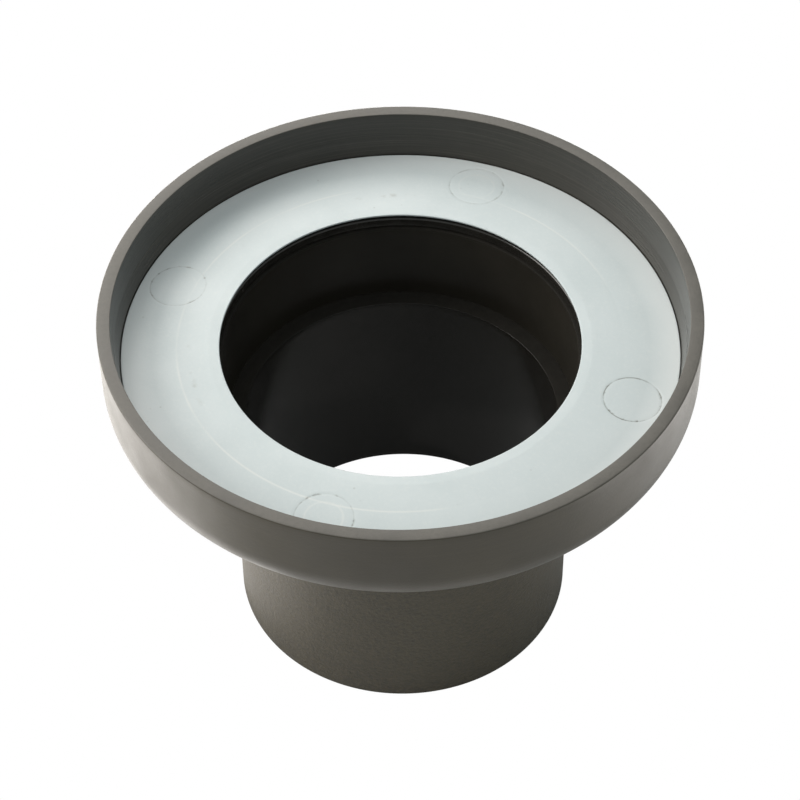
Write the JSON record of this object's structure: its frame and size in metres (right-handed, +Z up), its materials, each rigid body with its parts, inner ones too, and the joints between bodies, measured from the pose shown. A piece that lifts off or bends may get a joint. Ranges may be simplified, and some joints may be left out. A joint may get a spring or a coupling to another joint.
{
  "type": "toilet flange",
  "caption": "Round cup flange on a short straight pipe spigot, with a pale, slightly dished ring lying on a soft seal inside the cup around an open throat.",
  "frame": {"origin": "centre of the spigot's foot, on the pipe axis", "axes": "+Z up along the pipe axis, from the spigot towards the cup's rim; X and Y are free because the body is round"},
  "size_m": [0.178, 0.178, 0.12],
  "materials": {
    "cup_plastic": "satin moulded, dark warm grey",
    "pipe_plastic": "matt, faintly mottled, dark warm grey",
    "seal_rubber": "matt black",
    "ring_plastic": "pale blue-white, moulded, lightly scuffed"
  },
  "bodies": {
    "flange": {"flange_cup": "cup_plastic", "spigot_pipe": "pipe_plastic"},
    "seal": {"seal_ring": "seal_rubber"},
    "ring": {"pressure_ring": "ring_plastic"}
  },
  "joints": [
    {"name": "seal_lift", "type": "slide", "parent": "flange", "child": "seal", "axis": [0, 0, 1], "range_m": [0, 0.04]},
    {"name": "ring_turn", "type": "hinge", "parent": "seal", "child": "ring", "pos_m": [0, 0, 0.1061], "axis": [0, 0, 1], "continuous": true}
  ]
}
